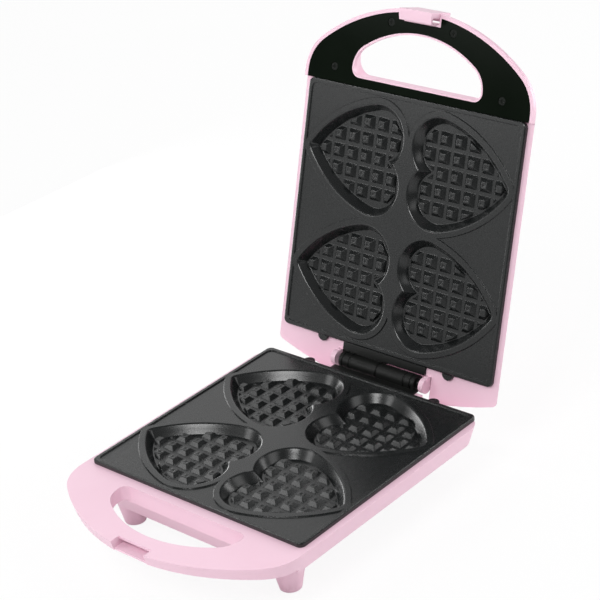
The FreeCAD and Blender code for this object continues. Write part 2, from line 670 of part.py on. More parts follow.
def upper_housing():
    shell = housing_shell("lid", "Sizes.lid_band", s.lid_band_inset, "Sizes.lid_depth",
                          s.lid_belly_inset, lid_shape)
    rim_root = -s.seat_gap
    upstand_outline = [line((body_half, -s.handle_root), (body_half, rim_root)),
                       line((body_half, rim_root), (-body_half, rim_root)),
                       line((-body_half, rim_root), (-body_half, -s.handle_root))]
    upstand_outline += arch(body_half, s.handle_rise, s.handle_corner, -s.handle_root)
    upstand = prism("handle_upstand", upstand_outline, "0", "Sizes.plate_edge")
    recess = cut("cover_recess",
                 prism("cover_space", cover_outline(0), "-Sizes.relief", "Sizes.cover_thick"),
                 prism("hole_lip", hole_outline(s.cover_lip), "-2 * Sizes.relief", "2 * Sizes.cover_thick"),
                 box("slot_lip", (-latch_slot_half - s.cover_lip, -handle_front, -2 * s.cover_thick),
                     (latch_slot_half + s.cover_lip, s.cover_lip - latch_slot_back, 2 * s.relief)))
    tools = [housing_cavity("lid", "Sizes.lid_band", "Sizes.lid_depth - Sizes.wall",
                            body_half - s.lid_belly_inset - s.wall, s.lid_front_slope),
             recess,
             prism("lid_hand_hole", hole_outline(0), "-Sizes.relief", "Sizes.hole_straight"),
             loft("lid_hole_flare", (hole_outline(0), "Sizes.hole_straight"),
                  (hole_outline(s.hole_flare, True), "Sizes.lid_band")),
             hinge_notch("lid")]
    tools += leaf_screw_holes("lid")
    tools.append(box("latch_slot", (-latch_slot_half, -handle_front - s.latch_thick, -s.lid_depth),
                     (latch_slot_half, -latch_slot_back, s.relief)))
    pin_half = latch_slot_half + s.latch_pin_grip
    tools.append(cylinder("latch_pin_hole", "Sizes.latch_pin_radius + Sizes.running_gap", f"{2 * pin_half}",
                          latch_pivot - Vector(pin_half, 0, 0), Vector(1, 0, 0)))
    for x, y in cover_screw_places:
        tools.append(cylinder("cover_screw_hole", "Sizes.screw_radius + Sizes.running_gap",
                              "Sizes.screw_length", Vector(x, y, -s.cover_screw_sink), Vector(0, 0, -1)))
    for across in (1, -1):
        tools.append(cylinder("light_hole", "Sizes.light_radius + Sizes.running_gap", "Sizes.wall * 3",
                              Vector(across * s.light_out, s.light_back, -s.lid_depth - s.wall)))
    blank = fuse("lid_blank", shell, upstand)
    return fuse("upper_housing", cut("lid_hollowed", blank, *tools), *hinge_lugs())


def hinge_lugs():
    # Rounded lugs on the lid beside the ends of the hinge barrel.
    lugs = []
    for low, high in ((s.lug_in, s.lug_out), (-s.lug_out, -s.lug_in)):
        lugs.append(box("lug_foot", (low, notch_wall - s.seat_gap, -s.lug_drop),
                        (high, hinge_back, hinge_up)))
        lugs.append(cylinder("lug_end", "Sizes.lug_radius", "Sizes.lug_out - Sizes.lug_in",
                             Vector(low, hinge_back, hinge_up), Vector(1, 0, 0)))
    return lugs


def handle_cover():
    owner = doc.addObject("PartDesign::Body", "handle_cover")
    outline = cover_outline(s.seat_gap) + hole_outline(s.cover_lip + s.seat_gap)
    extrude(owner, "Pad", "sheet", body_sketch(owner, "cover_edge", outline), "Sizes.cover_thick", True)
    slot_half = latch_slot_half + s.cover_lip + s.seat_gap
    slot_back = s.cover_lip + s.seat_gap - latch_slot_back
    slot = [line((slot_half, slot_back), (-slot_half, slot_back)),
            line((-slot_half, slot_back), (-slot_half, -handle_front)),
            line((-slot_half, -handle_front), (slot_half, -handle_front)),
            line((slot_half, -handle_front), (slot_half, slot_back))]
    extrude(owner, "Pocket", "latch_gap", body_sketch(owner, "latch_gap_edge", slot), "Sizes.cover_thick")
    holes = [circle(place, s.screw_radius + s.running_gap) for place in cover_screw_places]
    extrude(owner, "Pocket", "screw_holes", body_sketch(owner, "screw_hole_edges", holes),
            "Sizes.cover_thick")
    seats = [circle(place, s.cover_screw_seat) for place in cover_screw_places]
    extrude(owner, "Pocket", "screw_seats", body_sketch(owner, "screw_seat_edges", seats),
            "Sizes.cover_screw_sink")
    return owner


# Hinge: two like leaves, each a tangent plate rolled into half of the barrel, on one pin.
def hinge_leaf(label):
    owner = doc.addObject("PartDesign::Body", label)
    barrel = [circle((hinge_back, hinge_up), s.barrel_radius)]
    start = "Sizes.knuckle_gap / 2"
    extrude(owner, "Pad", "barrel", body_sketch(owner, "barrel_edge", barrel, start, "YZ_Plane"),
            "Sizes.barrel_half - Sizes.knuckle_gap / 2")
    leaf_back = notch_wall + s.leaf_thick
    leaf = [line((notch_wall, -s.leaf_drop), (leaf_back, -s.leaf_drop)),
            line((leaf_back, -s.leaf_drop), (leaf_back, hinge_up)),
            line((leaf_back, hinge_up), (notch_wall, hinge_up)),
            line((notch_wall, hinge_up), (notch_wall, -s.leaf_drop))]
    low_leaf = [line((notch_wall, -s.leaf_drop), (leaf_back, -s.leaf_drop)),
                line((leaf_back, -s.leaf_drop), (leaf_back, -s.barrel_radius)),
                line((leaf_back, -s.barrel_radius), (notch_wall, -s.barrel_radius)),
                line((notch_wall, -s.barrel_radius), (notch_wall, -s.leaf_drop))]
    extrude(owner, "Pad", "web", body_sketch(owner, "web_edge", leaf, start, "YZ_Plane"),
            "Sizes.barrel_half - Sizes.knuckle_gap / 2")
    extrude(owner, "Pad", "leaf", body_sketch(owner, "leaf_edge", low_leaf, start, "YZ_Plane"),
            "Sizes.leaf_end - Sizes.knuckle_gap / 2")
    low = -s.plate_edge
    near = s.plate_length + s.knuckle_gap
    for far, first, length in ((notch_wall - s.knuckle_gap, "-Sizes.leaf_end", "2 * Sizes.leaf_end"),
                               (leaf_back, start, "Sizes.leaf_end - Sizes.knuckle_gap / 2")):
        flange = [line((near, low), (far, low)), line((far, low), (far, low + s.leaf_flange)),
                  line((far, low + s.leaf_flange), (near, low + s.leaf_flange)),
                  line((near, low + s.leaf_flange), (near, low))]
        extrude(owner, "Pad", "flange", body_sketch(owner, "flange_edge", flange, first, "YZ_Plane"), length)
    bore = [circle((hinge_back, hinge_up), s.pin_radius + s.running_gap)]
    extrude(owner, "Pocket", "bore", body_sketch(owner, "bore_edge", bore, "0", "YZ_Plane"),
            "Sizes.leaf_end", True)
    holes = [circle((x, z), s.screw_radius + s.running_gap) for x, z in leaf_screw_places()]
    hole_sketch = body_sketch(owner, "hole_edges", holes, f"-{leaf_back}", "XZ_Plane")
    extrude(owner, "Pocket", "screw_holes", hole_sketch, "2 * Sizes.leaf_thick", True)
    return owner


def hinge_screws(name):
    solids = []
    for x, z in leaf_screw_places():
        solids.append(screw(Vector(x, notch_wall + s.leaf_thick, z), Vector(0, -1, 0), s.screw_head_radius,
                            s.screw_head, s.screw_radius, s.screw_length))
    return group(name, solids)


def hinge_pin():
    head_in = s.barrel_half + s.knuckle_gap
    along = Vector(1, 0, 0)
    axis = Vector(0, hinge_back, hinge_up)
    shaft = cylinder("pin_shaft", "Sizes.pin_radius", "2 * (Sizes.barrel_half + Sizes.knuckle_gap)",
                     axis - along * head_in, along)
    heads = []
    for way in (along, along * -1):
        heads.append(cylinder("pin_head", "Sizes.pin_head_radius", "Sizes.pin_head",
                              axis + way * head_in, way))
    return fuse("hinge_pin", shaft, *heads)


# Latch: a hooked plate on a pivot at the front of the lid's handle, drawn about its pivot.
def latch():
    owner = doc.addObject("PartDesign::Body", "latch")
    front = -s.latch_boss - s.seat_gap
    back = front + s.latch_thick
    tip = s.latch_reach + s.latch_pivot_depth
    lip = tip - s.latch_lip
    hook = back + s.latch_hook
    corners = [(front, -s.latch_tail), (back, -s.latch_tail), (back, lip), (hook, lip),
               (hook, lip + s.latch_lip / 2), (back, tip), (front, tip)]
    outline = [line(corners[i - 1], corners[i]) for i in range(len(corners))]
    start = "-Sizes.latch_half"
    width = "2 * Sizes.latch_half"
    extrude(owner, "Pad", "plate", body_sketch(owner, "plate_edge", outline, start, "YZ_Plane"), width)
    boss = [circle((0, 0), s.latch_boss)]
    extrude(owner, "Pad", "boss", body_sketch(owner, "boss_edge", boss, start, "YZ_Plane"), width)
    bore = [circle((0, 0), s.latch_pin_radius + s.running_gap)]
    extrude(owner, "Pocket", "bore", body_sketch(owner, "bore_edge", bore, start, "YZ_Plane"), width, True)
    return owner


def latch_pin():
    half = latch_slot_half + s.latch_pin_grip
    return cylinder("latch_pin", "Sizes.latch_pin_radius", f"{2 * half}",
                    latch_pivot - Vector(half, 0, 0), Vector(1, 0, 0))


# Inside a half: heating element, its clamps, heat shield, screws, thermostat and thermal fuse.
tube_depth = cup_bottom + s.seat_gap + s.tube_radius


def heating_element(name):
    right = [(s.element_lead, s.element_end), (s.element_lead, s.element_row),
             (s.element_out, s.element_row), (s.element_out, -s.element_row)]
    corners = right + [(-x, y) for x, y in reversed(right)]
    points = [Vector(x, middle + y, -tube_depth) for x, y in corners]
    edges = []
    start = points[0]
    for before, corner, after in zip(points, points[1:], points[2:]):
        back = (before - corner).normalize()
        onward = (after - corner).normalize()
        enter = corner + back * s.tube_bend
        leave = corner + onward * s.tube_bend
        centre = corner + (back + onward) * s.tube_bend
        mid = centre + (corner - centre).normalize() * s.tube_bend
        edges += [Part.LineSegment(start, enter).toShape(), Part.Arc(enter, mid, leave).toShape()]
        start = leave
    edges.append(Part.LineSegment(start, points[-1]).toShape())
    path = Part.Wire(edges)
    rim = [points[0] + Vector(math.cos(turn), 0, math.sin(turn)) * s.tube_radius
           for turn in [side * math.pi / 4 for side in range(9)]]
    profile = Part.makePolygon(rim)
    element = doc.addObject("Part::Feature", name)
    element.Shape = path.makePipeShell([profile], True, False)
    return element


def element_clamps(name):
    # Hat-shaped straps over the tube, with both feet on the underside of a heart cup.
    inner = s.tube_radius + s.seat_gap
    outer = inner + s.clamp_sheet
    drop = 2 * s.tube_radius + 2 * s.seat_gap
    clamp_row = s.element_row - s.tube_bend - s.clamp_width
    solids = []
    for across in (1, -1):
        for along in (1, -1):
            x = across * s.element_out
            y = middle + along * clamp_row
            low_y = y - s.clamp_width / 2
            strap = Part.makeBox(2 * (outer + s.clamp_foot), s.clamp_width, s.clamp_sheet,
                                 Vector(x - outer - s.clamp_foot, low_y, -cup_bottom - s.clamp_sheet))
            hat = Part.makeBox(2 * outer, s.clamp_width, drop + s.clamp_sheet,
                               Vector(x - outer, low_y, -cup_bottom - drop - s.clamp_sheet))
            gap = Part.makeBox(2 * inner, s.clamp_width, drop, Vector(x - inner, low_y, -cup_bottom - drop))
            solids.append(strap.fuse(hat).cut(gap).removeSplitter())
    return group(name, solids)


shield_screw_places = [(s.boss_out, middle), (-s.boss_out, middle),
                       (0, s.boss_end), (0, s.plate_length - s.boss_end)]


def heat_shield(name):
    owner = doc.addObject("PartDesign::Body", name)
    outline = rectangle(s.plate_width / 2 - s.shield_margin, s.shield_margin - s.ledge,
                        s.plate_length - s.shield_margin + s.ledge, s.plate_corner)
    top = "-Sizes.shield_depth"
    extrude(owner, "Pad", "sheet", body_sketch(owner, "sheet_edge", outline, top),
            "Sizes.shield_thick", True)
    holes = [circle(place, s.screw_radius + s.running_gap) for place in shield_screw_places]
    extrude(owner, "Pocket", "holes", body_sketch(owner, "hole_edges", holes, top), "Sizes.shield_thick")
    return owner


def shield_screws(name):
    solids = []
    for x, y in shield_screw_places:
        base = Vector(x, y, -s.shield_depth - s.shield_thick)
        solids.append(screw(base, Vector(0, 0, 1), s.screw_head_radius, s.screw_head,
                            s.screw_radius, s.screw_length))
    return group(name, solids)


def thermostat(name):
    bottom = -s.plate_edge - s.thermostat_height
    can = cylinder(name + "_can", "Sizes.thermostat_radius", "Sizes.thermostat_height",
                   Vector(0, middle, bottom))
    tab_half = s.thermostat_radius + s.wall
    tabs = box(name + "_tabs", (-tab_half, middle - s.wall / 2, bottom),
               (tab_half, middle + s.wall / 2, bottom + s.clamp_sheet))
    return fuse(name, can, tabs)


def thermal_fuse(name):
    start = Vector(s.fuse_out, middle - s.fuse_length / 2, -s.plate_edge - s.fuse_radius)
    return cylinder(name, "Sizes.fuse_radius", "Sizes.fuse_length", start, Vector(0, 1, 0))


# Indicator lights in the lid's top and their board.
def light_lens(name, across):
    top = Vector(across * s.light_out, s.light_back, -s.lid_depth)
    stem = cylinder(name + "_stem", "Sizes.light_radius", "Sizes.wall", top)
    flange = cylinder(name + "_flange", "Sizes.light_flange", "Sizes.board_thick",
                      top + Vector(0, 0, s.wall))
    dome = doc.addObject("Part::Cone", name + "_dome")
    bind(dome, Radius1="Sizes.light_crown", Radius2="Sizes.light_radius", Height="Sizes.light_proud")
    dome.Placement = Placement(top - Vector(0, 0, s.light_proud), Rotation())
    return fuse(name, stem, flange, dome)


def indicator_board():
    bottom = -s.lid_depth + s.wall + s.board_thick
    reach = s.light_out + s.light_flange
    return box("indicator_board", (-reach, s.light_back - s.light_flange, bottom),
               (reach, s.light_back + s.light_flange, bottom + s.board_thick))


# Mains side of the base: cord gland in the rear boss and a terminal block on the floor.
def cord_gland():
    end = s.plate_length + s.gland_boss_end
    inner = s.plate_length - s.rear_ledge - s.wall
    along = Vector(0, 1, 0)
    axis = Vector(gland_out, 0, -s.gland_depth)
    sleeve = cylinder("gland_sleeve", "Sizes.gland_radius",
                      "Sizes.gland_boss_end + Sizes.rear_ledge + Sizes.wall", axis + along * inner, along)
    flange = cylinder("gland_rim", "Sizes.gland_flange", "Sizes.gland_flange_thick",
                      axis + along * end, along)
    bore = cylinder("gland_hole", "Sizes.gland_bore", "2 * Sizes.plate_length", axis, along)
    return cut("cord_gland", fuse("gland_blank", sleeve, flange), bore)


def terminal_block():
    back = s.plate_length - s.block_ahead
    return box("terminal_block", (s.block_out - s.block_length / 2, back - s.block_width / 2, -s.base_floor),
               (s.block_out + s.block_length / 2, back + s.block_width / 2, s.block_height - s.base_floor))


plate_shift = Vector(0, middle, 0)
piece(lower_housing(), "lower_housing", base_half)
piece(foot_pads(), "foot_pads", base_half)
piece(hinge_pin(), "hinge_pin", base_half)
piece(cord_gland(), "cord_gland", base_half)
piece(terminal_block(), "terminal_block", base_half)
piece(upper_housing(), "upper_housing", lid_half)
piece(handle_cover(), "handle_cover", lid_half)
cover_screws = [screw(Vector(x, y, -s.cover_screw_sink), Vector(0, 0, -1), s.screw_head_radius,
                      s.screw_head / 2, s.screw_radius, s.screw_length) for x, y in cover_screw_places]
piece(group("handle_cover_screws", cover_screws), "handle_cover_screws", lid_half)
piece(latch_pin(), "latch_pin", lid_half)
piece(latch(), "latch", latch_half_place)
piece(light_lens("power_light_lens", -1), "power_light_lens", lid_half)
piece(light_lens("ready_light_lens", 1), "ready_light_lens", lid_half)
piece(indicator_board(), "indicator_board", lid_half)
for side, half in (("lower", base_half), ("upper", lid_half)):
    piece(plate(side + "_plate"), side + "_plate", half, plate_shift)
    piece(heating_element(side + "_heating_element"), side + "_heating_element", half)
    piece(element_clamps(side + "_element_clamps"), side + "_element_clamps", half)
    piece(heat_shield(side + "_heat_shield"), side + "_heat_shield", half)
    piece(shield_screws(side + "_shield_screws"), side + "_shield_screws", half)
    piece(thermostat(side + "_thermostat"), side + "_thermostat", half)
    piece(thermal_fuse(side + "_thermal_fuse"), side + "_thermal_fuse", half)
    piece(hinge_leaf(side + "_hinge_leaf"), side + "_hinge_leaf", half)
    piece(hinge_screws(side + "_hinge_screws"), side + "_hinge_screws", half)
doc.recompute()

for solid, place in pieces:
    solid.Placement = place.multiply(solid.Placement)
failed = [obj.Label for obj in doc.Objects if "Invalid" in obj.State or "Error" in obj.State]
failed += [solid.Label for solid, place in pieces if solid.Shape.isNull() or not solid.Shape.isValid()]
if failed:
    raise RuntimeError("these pieces failed: " + ", ".join(failed))
os.makedirs("parts", exist_ok=True)
for solid, place in pieces:
    solid.Shape.exportStep(f"parts/{solid.Label}.step")
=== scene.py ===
import math
import bpy
from mathutils import Matrix, Vector


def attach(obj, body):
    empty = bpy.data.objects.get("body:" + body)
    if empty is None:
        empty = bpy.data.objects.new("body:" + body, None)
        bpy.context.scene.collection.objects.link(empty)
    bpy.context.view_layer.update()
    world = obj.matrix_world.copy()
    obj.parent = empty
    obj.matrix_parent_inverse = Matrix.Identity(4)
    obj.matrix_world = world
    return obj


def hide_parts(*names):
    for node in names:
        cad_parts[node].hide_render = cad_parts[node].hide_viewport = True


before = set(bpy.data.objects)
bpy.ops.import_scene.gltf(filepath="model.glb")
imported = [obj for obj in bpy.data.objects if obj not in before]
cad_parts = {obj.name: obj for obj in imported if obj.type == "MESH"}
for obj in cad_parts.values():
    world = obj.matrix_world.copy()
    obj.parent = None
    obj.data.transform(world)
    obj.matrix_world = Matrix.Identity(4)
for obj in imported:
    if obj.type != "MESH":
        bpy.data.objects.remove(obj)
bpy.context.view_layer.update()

# Lower housing: the base's pink shell with its handle and four feet, one injection moulding in ABS.
# It carries the lower plate on a ledge and is screwed to the hinge leaf at the rear.
MM = 0.001


class Wire:
    """A shader socket that takes part in Python sums."""

    def __init__(self, tree, socket=None):
        self.tree = tree
        self.socket = socket

    def node(self, kind, settings=(), values=(), output=0):
        made = self.tree.nodes.new(kind)
        for name, value in dict(settings).items():
            setattr(made, name, value)
        for name, value in dict(values).items():
            if isinstance(value, Wire):
                self.tree.links.new(value.socket, made.inputs[name])
            else:
                made.inputs[name].default_value = value
        return Wire(self.tree, made.outputs[output])

    def maths(self, operation, first, second):
        return self.node("ShaderNodeMath", {"operation": operation}, {0: first, 1: second})

    def __add__(self, other):
        return self.maths("ADD", self, other)

    def __radd__(self, other):
        return self.maths("ADD", other, self)

    def __sub__(self, other):
        return self.maths("SUBTRACT", self, other)

    def __rsub__(self, other):
        return self.maths("SUBTRACT", other, self)

    def __mul__(self, other):
        return self.maths("MULTIPLY", self, other)

    def __rmul__(self, other):
        return self.maths("MULTIPLY", other, self)


def new_finish(name, **fixed):
    material = bpy.data.materials.new(name)
    material.use_nodes = True
    shader = material.node_tree.nodes["Principled BSDF"]
    for socket, value in fixed.items():
        shader.inputs[socket.replace("_", " ")].default_value = value
    return material, shader, Wire(material.node_tree)


def grain(wire, scale, detail):
    place = wire.node("ShaderNodeTexCoord", output="Object")
    return wire.node("ShaderNodeTexNoise", {}, {"Vector": place, "Scale": scale, "Detail": detail})


def tint(wire, share, first, second):
    # The Mix node's colour sockets are numbers 6 and 7, and its colour output is number 2.
    return wire.node("ShaderNodeMix", {"data_type": "RGBA"}, {0: share, 6: (*first, 1), 7: (*second, 1)}, 2)


def feed(wire, shader, **links):
    for socket, value in links.items():
        wire.tree.links.new(value.socket, shader.inputs[socket.replace("_", " ")])


def bumps(wire, height, strength, distance):
    return wire.node("ShaderNodeBump", {}, {"Height": height, "Strength": strength, "Distance": distance})


def moulded(name, dark, light, dullness, texture, shine=0.5):
    # Moulded plastic: faint flow marks in the colour, fine tool texture and slightly uneven gloss.
    material, shader, wire = new_finish(name, Specular_IOR_Level=shine)
    flow = grain(wire, scale=22, detail=3)
    fine = grain(wire, scale=2600, detail=1)
    feed(wire, shader, Base_Color=tint(wire, flow, dark, light),
         Roughness=flow * 0.10 + fine * 0.06 + dullness,
         Normal=bumps(wire, fine, texture, distance=0.06 * MM))
    return material


def only(piece):
    bpy.ops.object.select_all(action="DESELECT")
    piece.select_set(True)
    bpy.context.view_layer.objects.active = piece


def join_faces(piece):
    # Joins the facets, makes flat faces whole and turns every face outwards.
    only(piece)
    bpy.ops.object.mode_set(mode="EDIT")
    bpy.ops.mesh.select_all(action="SELECT")
    bpy.ops.mesh.remove_doubles(threshold=0.01 * MM)
    bpy.ops.mesh.dissolve_limited(angle_limit=math.radians(0.2))
    bpy.ops.mesh.normals_make_consistent(inside=False)
    bpy.ops.object.mode_set(mode="OBJECT")


def merged_copy(node, name):
    piece = bpy.data.objects.new(name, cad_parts[node].data.copy())
    bpy.context.scene.collection.objects.link(piece)
    join_faces(piece)
    return piece


def ease(piece, width, steps=2, corner=30, smooth=45, clamp=True):
    # Rounds the sharp edges and lets the flat faces keep their own direction in the shading.
    only(piece)
    bevel = piece.modifiers.new("eased_edges", "BEVEL")
    bevel.width = width
    bevel.segments = steps
    bevel.limit_method = "ANGLE"
    bevel.angle_limit = math.radians(corner)
    bevel.use_clamp_overlap = clamp
    bpy.ops.object.modifier_apply(modifier=bevel.name)
    bpy.ops.object.shade_smooth_by_angle(angle=math.radians(smooth))
    weigh = piece.modifiers.new("flat_faces_first", "WEIGHTED_NORMAL")
    weigh.keep_sharp = True
    bpy.ops.object.modifier_apply(modifier=weigh.name)


def settle(piece, body, material, node):
    piece.data.name = piece.name
    piece.data.materials.clear()
    piece.data.materials.append(material)
    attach(piece, body)
    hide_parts(node)


def eased_copy(node, name, body, material, width, steps=2):
    piece = merged_copy(node, name)
    ease(piece, width, steps)
    settle(piece, body, material, node)


pink = moulded("pink_moulding", (0.835, 0.555, 0.668), (0.875, 0.612, 0.722), dullness=0.26, texture=0.10)
eased_copy("lower_housing", "lower_shell", "base", pink, width=1.8 * MM, steps=3)

# Foot pads: four black rubber discs with the dull skin of moulded rubber.
# Each is pressed into one foot of the base.
rubber = moulded("rubber", (0.018, 0.018, 0.018), (0.032, 0.032, 0.033), dullness=0.62, texture=0.35)
eased_copy("foot_pads", "rubber_pads", "base", rubber, width=0.5 * MM)

# Cord gland: a sleeve moulded from the same black rubber as the pads.
# It is pushed into its boss on the base.
eased_copy("cord_gland", "rubber_gland", "base", rubber, width=0.6 * MM)

# Baking plates: cast aluminium, sprayed with dark non-stick coating, with four heart cups full of studs.
# Each lies on its housing's ledge and is held by the screws of the heat shield.
# A plate's own frame has its cooking face at z = 0, its handle-side edge at y = 0 and its inside below.
plate_front = -122.442
plate_face = 51.4
plate_gap = 1.0
hinge_back = 90.758
open_angle = math.radians(107.5)
hinge_axis = Matrix.Translation(Vector((0, hinge_back, plate_face + plate_gap / 2)) * MM)
opened = hinge_axis @ Matrix.Rotation(-open_angle, 4, "X") @ hinge_axis.inverted()
base_plane = Matrix.Translation(Vector((0, plate_front, plate_face)) * MM)
shut_plane = Matrix.Translation(Vector((0, plate_front, plate_face + plate_gap)) * MM)
lid_plane = opened @ shut_plane @ Matrix.Rotation(math.pi, 4, "Y")
stud_top = 5.2 * MM
rim_round = 1.1 * MM


def coated(name, dark, light):
    # Sprayed coating: fine specks and soft clouds in a nearly black grey.
    material, shader, wire = new_finish(name, Specular_IOR_Level=0.5)
    cloud = grain(wire, scale=30, detail=3)
    speck = grain(wire, scale=1500, detail=2)
    feed(wire, shader, Base_Color=tint(wire, speck * 0.7 + cloud * 0.3, dark, light),
         Roughness=speck * 0.10 + cloud * 0.06 + 0.19,
         Normal=bumps(wire, speck, strength=0.2, distance=0.05 * MM))
    return material


def start_choosing(piece, kind):
    # Leaves nothing chosen in the mesh, so that the faces or edges chosen next are the only ones.
    only(piece)
    bpy.ops.object.mode_set(mode="EDIT")
    bpy.ops.mesh.select_mode(type=kind)
    bpy.ops.mesh.select_all(action="DESELECT")
    bpy.ops.object.mode_set(mode="OBJECT")


def dimple_tops(piece, top_side):
    # Presses a small dimple into every whole stud's square top.
    border = 0.3 * top_side
    slope = 0.07 * top_side
    depth = 0.08 * top_side
    start_choosing(piece, "FACE")
    for face in piece.data.polygons:
        face.select = len(face.vertices) == 4 and abs(face.area / top_side ** 2 - 1) < 0.02
    bpy.ops.object.mode_set(mode="EDIT")
    bpy.ops.mesh.inset(thickness=border, use_individual=True)
    bpy.ops.mesh.inset(thickness=slope, depth=-depth, use_individual=True)
    bpy.ops.object.mode_set(mode="OBJECT")


def round_rims(piece, plane, width):
    # Rounds the edges of the cooking face from which a wall drops by more than the land's step.
    inward = plane.inverted()
    heights = [(inward @ vertex.co).z for vertex in piece.data.vertices]
    near = 0.02 * MM
    land_step = 1.5 * MM
    walls = set()
    for face in piece.data.polygons:
        ends = [heights[corner] for corner in face.vertices]
        if min(ends) < -land_step and abs(max(ends)) < near:
            walls.update(face.edge_keys)
    start_choosing(piece, "EDGE")
    for edge in piece.data.edges:
        if edge.key in walls and all(abs(heights[end]) < near for end in edge.vertices):
            edge.select = True
    bpy.ops.object.mode_set(mode="EDIT")
    bpy.ops.mesh.bevel(offset=width, segments=3, clamp_overlap=False)
    bpy.ops.object.mode_set(mode="OBJECT")


nonstick = coated("nonstick_coating", (0.006, 0.007, 0.007), (0.012, 0.0135, 0.0138))
for side, body, plane in (("lower", "base", base_plane), ("upper", "lid", lid_plane)):
    casting = merged_copy(side + "_plate", side + "_casting")
    dimple_tops(casting, stud_top)
    round_rims(casting, plane, rim_round)
    ease(casting, 0.4 * MM, corner=25, smooth=40, clamp=False)
    settle(casting, body, nonstick, side + "_plate")

# Upper housing: the lid's pink shell, moulded in ABS like the base's, with the arched handle at its front.
# Its sides slope in behind the rim, and the solid has a thin slit along each slope where its hollow
# comes through. A rib on each side closes that slit here.
slope_in = 10
slope_height = 11.5
rib_size = (1.5, 190.5, 3.2)
rib_aside, rib_along, rib_height = 98.151, 98.25, -13.108


def block(size, *moves):
    # A plain block of the given size in millimetres, moved into place step by step.
    bpy.ops.object.select_all(action="DESELECT")
    bpy.ops.mesh.primitive_cube_add(size=MM)
    made = bpy.context.object
    made.data.transform(Matrix.Diagonal((*size, 1)))
    for move in moves:
        made.data.transform(move)
    return made


def combine(piece, other, operation, step):
    # Adds the other mesh to the piece or takes it away from it, and removes it.
    only(piece)
    change = piece.modifiers.new(step, "BOOLEAN")
    change.operation = operation
    change.object = other
    bpy.ops.object.modifier_apply(modifier=change.name)
    bpy.data.objects.remove(other)


lid_shell = merged_copy("upper_housing", "upper_shell")
for side in (1, -1):
    lean = Matrix.Rotation(side * math.atan2(slope_in, slope_height), 4, "Y")
    rib_place = lid_plane @ Matrix.Translation(Vector((side * rib_aside, rib_along, rib_height)) * MM)
    combine(lid_shell, block(rib_size, lean, rib_place), "UNION", "closed_side")
join_faces(lid_shell)
ease(lid_shell, 1.2 * MM, steps=3)
settle(lid_shell, "lid", pink, "upper_housing")

# Handle cover: a glossy black plastic moulding let into the lid's handle.
# Four screws hold it there.
black_gloss = moulded("black_gloss", (0.002, 0.004, 0.002), (0.004, 0.007, 0.004),
                      dullness=0.06, texture=0.03, shine=0.03)
eased_copy("handle_cover", "gloss_cover", "lid", black_gloss, width=0.5 * MM)

# Hinge: two steel leaves, each rolled into half of the barrel round one pin, and painted black.
# Grooves are turned into the barrel, and each leaf is screwed to its housing.
barrel_radius = 6.5 * MM
groove_radius = 0.7 * MM
groove_stations = (-33.5, -27, 0, 27, 33.5)


def painted(name, dark, light, dullness):
    # Sprayed paint with fine orange peel and patches of wear.
    material, shader, wire = new_finish(name, Specular_IOR_Level=0.3)
    peel = grain(wire, scale=700, detail=2)
    wear = grain(wire, scale=45, detail=4)
    feed(wire, shader, Base_Color=tint(wire, wear, dark, light),
         Roughness=wear * 0.2 + peel * 0.08 + dullness,
         Normal=bumps(wire, peel, strength=0.2, distance=0.06 * MM))
    return material


def joined(pieces):
    only(pieces[-1])
    for piece in pieces:
        piece.select_set(True)
    bpy.ops.object.join()
    return bpy.context.object


def groove_ring(station):
    # A ring round the hinge's axis that cuts one groove, with the station in millimetres along the axis.
    bpy.ops.object.select_all(action="DESELECT")
    bpy.ops.mesh.primitive_torus_add(major_radius=barrel_radius, minor_radius=groove_radius,
                                     major_segments=64, minor_segments=16)
    ring = bpy.context.object
    along_axis = Matrix.Translation((station * MM, 0, 0)) @ Matrix.Rotation(math.pi / 2, 4, "Y")
    ring.data.transform(along_axis)
    ring.data.transform(hinge_axis)
    return ring


hinge_black = painted("hinge_black", (0.001, 0.001, 0.001), (0.004, 0.005, 0.004), dullness=0.36)
for side, body in (("lower", "base"), ("upper", "lid")):
    leaf = merged_copy(side + "_hinge_leaf", side + "_leaf")
    ease(leaf, 0.4 * MM)
    rings = joined([groove_ring(station) for station in groove_stations])
    combine(leaf, rings, "DIFFERENCE", "turned_grooves")
    bpy.ops.mesh.customdata_custom_splitnormals_clear()
    bpy.ops.object.shade_smooth_by_angle(angle=math.radians(40))
    settle(leaf, body, hinge_black, side + "_hinge_leaf")
eased_copy("hinge_pin", "pin_with_heads", "base", hinge_black, width=0.5 * MM)

# Screws: zinc-plated steel on the hinge's leaves, blackened steel with a pressed cross recess on the cover.
# The first hold the leaves to the housings, the others hold the cover to the lid's handle.
recess_length = 3.4
recess_width = 0.8
recess_height = 1.0
recess_level = -0.3
cover_screw_places = ((79, -11.5), (-79, -11.5), (29, -53), (-29, -53))


def metal(name, dark, light, dullness, line_scale=(1, 1, 1)):
    # Bare or plated metal with faint stains and fine drawing lines.
    material, shader, wire = new_finish(name, Metallic=1.0)
    place = wire.node("ShaderNodeTexCoord", output="Object")
    drawn = wire.node("ShaderNodeMapping", {}, {"Vector": place, "Scale": line_scale})
    lines = wire.node("ShaderNodeTexNoise", {}, {"Vector": drawn, "Scale": 900, "Detail": 2})
    stain = grain(wire, scale=60, detail=3)
    feed(wire, shader, Base_Color=tint(wire, stain, dark, light),
         Roughness=lines * 0.18 + stain * 0.10 + dullness,
         Normal=bumps(wire, lines, strength=0.12, distance=0.05 * MM))
    return material


